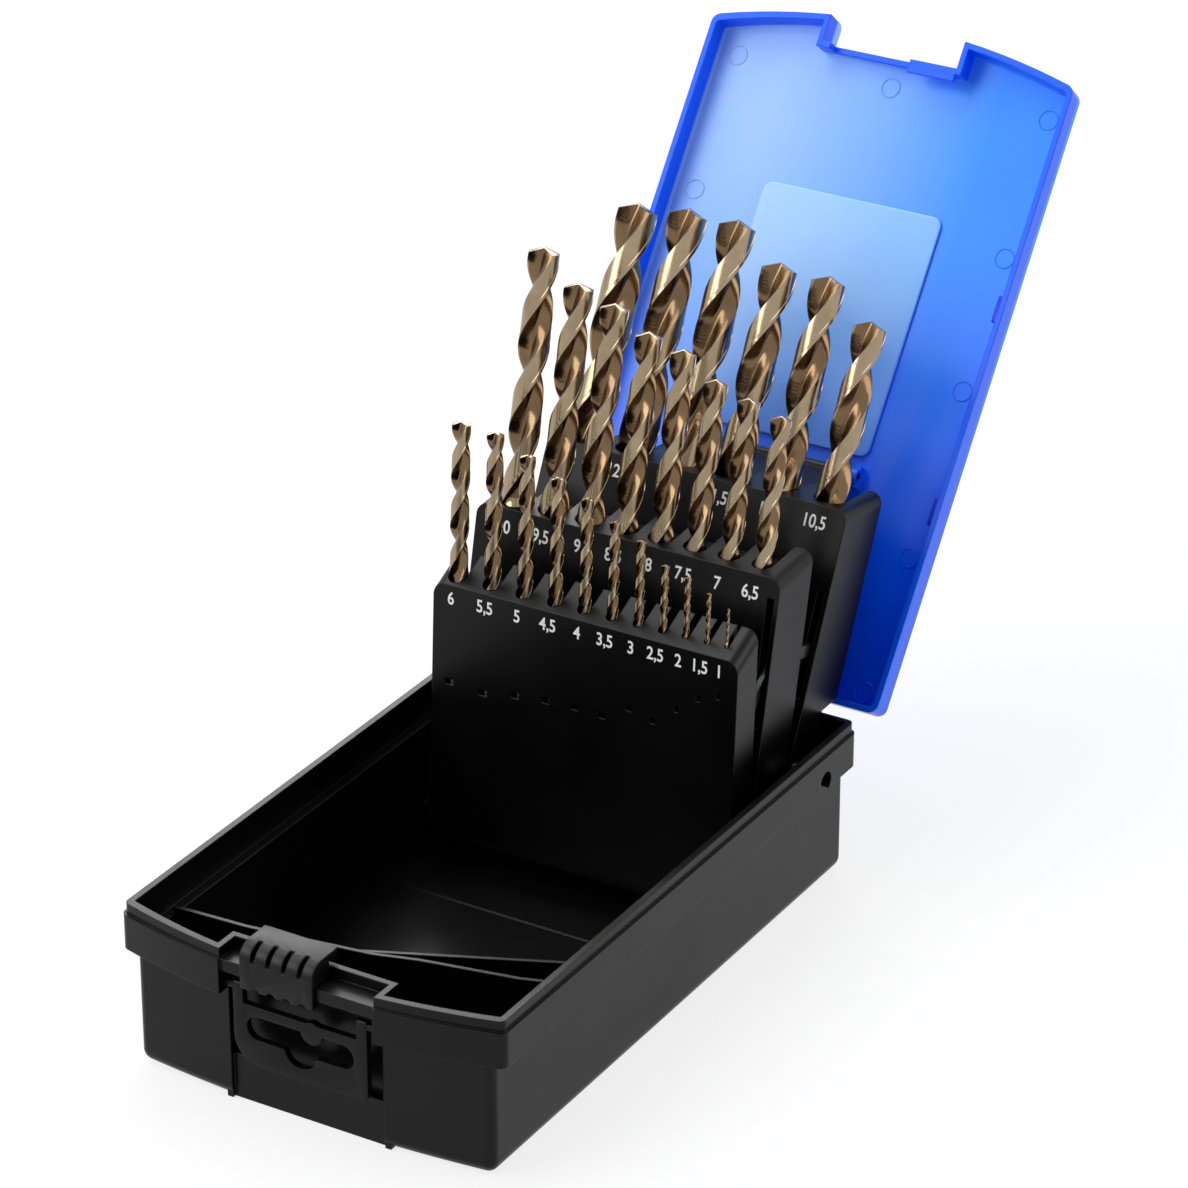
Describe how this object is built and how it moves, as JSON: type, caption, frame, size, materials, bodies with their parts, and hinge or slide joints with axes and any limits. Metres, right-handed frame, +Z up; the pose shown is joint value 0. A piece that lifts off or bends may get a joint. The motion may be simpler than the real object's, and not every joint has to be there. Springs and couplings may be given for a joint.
{
  "type": "drill bit case",
  "caption": "Hinged-lid case for twist drills: opening the lid swings three stepped racks of bits up out of the base; sliding latch and fold-down hanger at the front.",
  "frame": {"origin": "centre of the base's underside, where the case stands on a bench", "axes": "+X to the right seen from the front, +Y from the latch towards the hinges, +Z up"},
  "size_m": [0.132, 0.3669, 0.2243],
  "materials": {
    "base_plastic": "satin black moulded plastic",
    "lid_plastic": "glossy blue moulded plastic",
    "rack_plastic": "satin black moulded plastic",
    "latch_plastic": "satin dark grey moulded plastic",
    "hanger_plastic": "satin dark grey moulded plastic",
    "pin_steel": "bright drawn steel pin",
    "link_steel": "bright stamped steel",
    "drill_steel": "ground high-speed steel with a bronze temper colour"
  },
  "bodies": {
    "base": {"base_case": "base_plastic", "hinge_pin_left": "pin_steel", "hinge_pin_right": "pin_steel"},
    "lid": {"lid": "lid_plastic"},
    "lid_link": {"lid_link": "rack_plastic"},
    "rack_front": {"rack_front": "rack_plastic"},
    "rack_middle": {"rack_middle": "rack_plastic"},
    "rack_rear": {"rack_rear": "rack_plastic"},
    "link_front": {"link_front": "link_steel"},
    "link_rear": {"link_rear": "link_steel"},
    "latch_slider": {"latch_slider": "latch_plastic"},
    "hanger": {"hanger": "hanger_plastic"},
    "drill_06_0": {"drill_06_0": "drill_steel"},
    "drill_05_5": {"drill_05_5": "drill_steel"},
    "drill_05_0": {"drill_05_0": "drill_steel"},
    "drill_04_5": {"drill_04_5": "drill_steel"},
    "drill_04_0": {"drill_04_0": "drill_steel"},
    "drill_03_5": {"drill_03_5": "drill_steel"},
    "drill_03_0": {"drill_03_0": "drill_steel"},
    "drill_02_5": {"drill_02_5": "drill_steel"},
    "drill_02_0": {"drill_02_0": "drill_steel"},
    "drill_01_5": {"drill_01_5": "drill_steel"},
    "drill_01_0": {"drill_01_0": "drill_steel"},
    "drill_10_0": {"drill_10_0": "drill_steel"},
    "drill_09_5": {"drill_09_5": "drill_steel"},
    "drill_09_0": {"drill_09_0": "drill_steel"},
    "drill_08_5": {"drill_08_5": "drill_steel"},
    "drill_08_0": {"drill_08_0": "drill_steel"},
    "drill_07_5": {"drill_07_5": "drill_steel"},
    "drill_07_0": {"drill_07_0": "drill_steel"},
    "drill_06_5": {"drill_06_5": "drill_steel"},
    "drill_13_0": {"drill_13_0": "drill_steel"},
    "drill_12_5": {"drill_12_5": "drill_steel"},
    "drill_12_0": {"drill_12_0": "drill_steel"},
    "drill_11_5": {"drill_11_5": "drill_steel"},
    "drill_11_0": {"drill_11_0": "drill_steel"},
    "drill_10_5": {"drill_10_5": "drill_steel"}
  },
  "joints": [
    {"name": "lid_hinge", "type": "hinge", "parent": "base", "child": "lid", "pos_m": [0, 0.1145, 0.0485], "axis": [-1, 0, 0], "range_deg": [-126.7, 0]},
    {"name": "rack_front_pivot", "type": "hinge", "parent": "base", "child": "rack_front", "pos_m": [0, 0.05758, 0.0124], "axis": [-1, 0, 0], "range_deg": [-93.3, 0]},
    {"name": "rack_middle_pivot", "type": "hinge", "parent": "base", "child": "rack_middle", "pos_m": [0, 0.08053, 0.03439], "axis": [-1, 0, 0], "range_deg": [-102.6, 0]},
    {"name": "rack_rear_pivot", "type": "hinge", "parent": "base", "child": "rack_rear", "pos_m": [0, 0.08909, 0.0409], "axis": [-1, 0, 0], "range_deg": [-115.6, 0]},
    {"name": "link_front_pivot", "type": "hinge", "parent": "rack_middle", "child": "link_front", "pos_m": [0.0515, 0.08148, 0.08489], "axis": [-1, 0, 0], "range_deg": [0, 110.7]},
    {"name": "link_rear_pivot", "type": "hinge", "parent": "rack_rear", "child": "link_rear", "pos_m": [0.0515, 0.10637, 0.07596], "axis": [-1, 0, 0], "range_deg": [0, 70.3]},
    {"name": "lid_link_pivot", "type": "hinge", "parent": "lid", "child": "lid_link", "pos_m": [0, 0.16843, 0.10496], "axis": [-1, 0, 0], "range_deg": [0, 117.1]},
    {"name": "latch_slide", "type": "slide", "parent": "base", "child": "latch_slider", "axis": [-1, 0, 0], "range_m": [-0.0165, 0]},
    {"name": "hanger_pivot", "type": "hinge", "parent": "base", "child": "hanger", "pos_m": [0, -0.1043, 0.041], "axis": [-1, 0, 0], "range_deg": [0, 90]},
    {"name": "drill_06_0_pull", "type": "slide", "parent": "rack_front", "child": "drill_06_0", "axis": [0, 0.0558, 0.9984], "range_m": [0, 0.0394]},
    {"name": "drill_05_5_pull", "type": "slide", "parent": "rack_front", "child": "drill_05_5", "axis": [0, 0.0558, 0.9984], "range_m": [0, 0.0401]},
    {"name": "drill_05_0_pull", "type": "slide", "parent": "rack_front", "child": "drill_05_0", "axis": [0, 0.0558, 0.9984], "range_m": [0, 0.0379]},
    {"name": "drill_04_5_pull", "type": "slide", "parent": "rack_front", "child": "drill_04_5", "axis": [0, 0.0558, 0.9984], "range_m": [0, 0.0366]},
    {"name": "drill_04_0_pull", "type": "slide", "parent": "rack_front", "child": "drill_04_0", "axis": [0, 0.0558, 0.9984], "range_m": [0, 0.036]},
    {"name": "drill_03_5_pull", "type": "slide", "parent": "rack_front", "child": "drill_03_5", "axis": [0, 0.0558, 0.9984], "range_m": [0, 0.0363]},
    {"name": "drill_03_0_pull", "type": "slide", "parent": "rack_front", "child": "drill_03_0", "axis": [0, 0.0558, 0.9984], "range_m": [0, 0.0313]},
    {"name": "drill_02_5_pull", "type": "slide", "parent": "rack_front", "child": "drill_02_5", "axis": [0, 0.0558, 0.9984], "range_m": [0, 0.0333]},
    {"name": "drill_02_0_pull", "type": "slide", "parent": "rack_front", "child": "drill_02_0", "axis": [0, 0.0558, 0.9984], "range_m": [0, 0.0273]},
    {"name": "drill_01_5_pull", "type": "slide", "parent": "rack_front", "child": "drill_01_5", "axis": [0, 0.0558, 0.9984], "range_m": [0, 0.0217]},
    {"name": "drill_01_0_pull", "type": "slide", "parent": "rack_front", "child": "drill_01_0", "axis": [0, 0.0558, 0.9984], "range_m": [0, 0.0192]},
    {"name": "drill_10_0_pull", "type": "slide", "parent": "rack_middle", "child": "drill_10_0", "axis": [0, 0.2164, 0.9763], "range_m": [0, 0.05]},
    {"name": "drill_09_5_pull", "type": "slide", "parent": "rack_middle", "child": "drill_09_5", "axis": [0, 0.2164, 0.9763], "range_m": [0, 0.0507]},
    {"name": "drill_09_0_pull", "type": "slide", "parent": "rack_middle", "child": "drill_09_0", "axis": [0, 0.2164, 0.9763], "range_m": [0, 0.0544]},
    {"name": "drill_08_5_pull", "type": "slide", "parent": "rack_middle", "child": "drill_08_5", "axis": [0, 0.2164, 0.9763], "range_m": [0, 0.0526]},
    {"name": "drill_08_0_pull", "type": "slide", "parent": "rack_middle", "child": "drill_08_0", "axis": [0, 0.2164, 0.9763], "range_m": [0, 0.0554]},
    {"name": "drill_07_5_pull", "type": "slide", "parent": "rack_middle", "child": "drill_07_5", "axis": [0, 0.2164, 0.9763], "range_m": [0, 0.0542]},
    {"name": "drill_07_0_pull", "type": "slide", "parent": "rack_middle", "child": "drill_07_0", "axis": [0, 0.2164, 0.9763], "range_m": [0, 0.0575]},
    {"name": "drill_06_5_pull", "type": "slide", "parent": "rack_middle", "child": "drill_06_5", "axis": [0, 0.2164, 0.9763], "range_m": [0, 0.0525]},
    {"name": "drill_13_0_pull", "type": "slide", "parent": "rack_rear", "child": "drill_13_0", "axis": [0, 0.4305, 0.9026], "range_m": [0, 0.0724]},
    {"name": "drill_12_5_pull", "type": "slide", "parent": "rack_rear", "child": "drill_12_5", "axis": [0, 0.4305, 0.9026], "range_m": [0, 0.0704]},
    {"name": "drill_12_0_pull", "type": "slide", "parent": "rack_rear", "child": "drill_12_0", "axis": [0, 0.4305, 0.9026], "range_m": [0, 0.0705]},
    {"name": "drill_11_5_pull", "type": "slide", "parent": "rack_rear", "child": "drill_11_5", "axis": [0, 0.4305, 0.9026], "range_m": [0, 0.0716]},
    {"name": "drill_11_0_pull", "type": "slide", "parent": "rack_rear", "child": "drill_11_0", "axis": [0, 0.4305, 0.9026], "range_m": [0, 0.0723]},
    {"name": "drill_10_5_pull", "type": "slide", "parent": "rack_rear", "child": "drill_10_5", "axis": [0, 0.4305, 0.9026], "range_m": [0, 0.0741]}
  ],
  "couplings": [
    {"joint": "rack_front_pivot", "follows": "lid_hinge", "ratio": 0.7356},
    {"joint": "rack_middle_pivot", "follows": "lid_hinge", "ratio": 0.809},
    {"joint": "rack_rear_pivot", "follows": "lid_hinge", "ratio": 0.9116},
    {"joint": "link_front_pivot", "follows": "lid_hinge", "ratio": -0.87277},
    {"joint": "link_rear_pivot", "follows": "lid_hinge", "ratio": -0.55391},
    {"joint": "lid_link_pivot", "follows": "lid_hinge", "ratio": -0.92344}
  ]
}
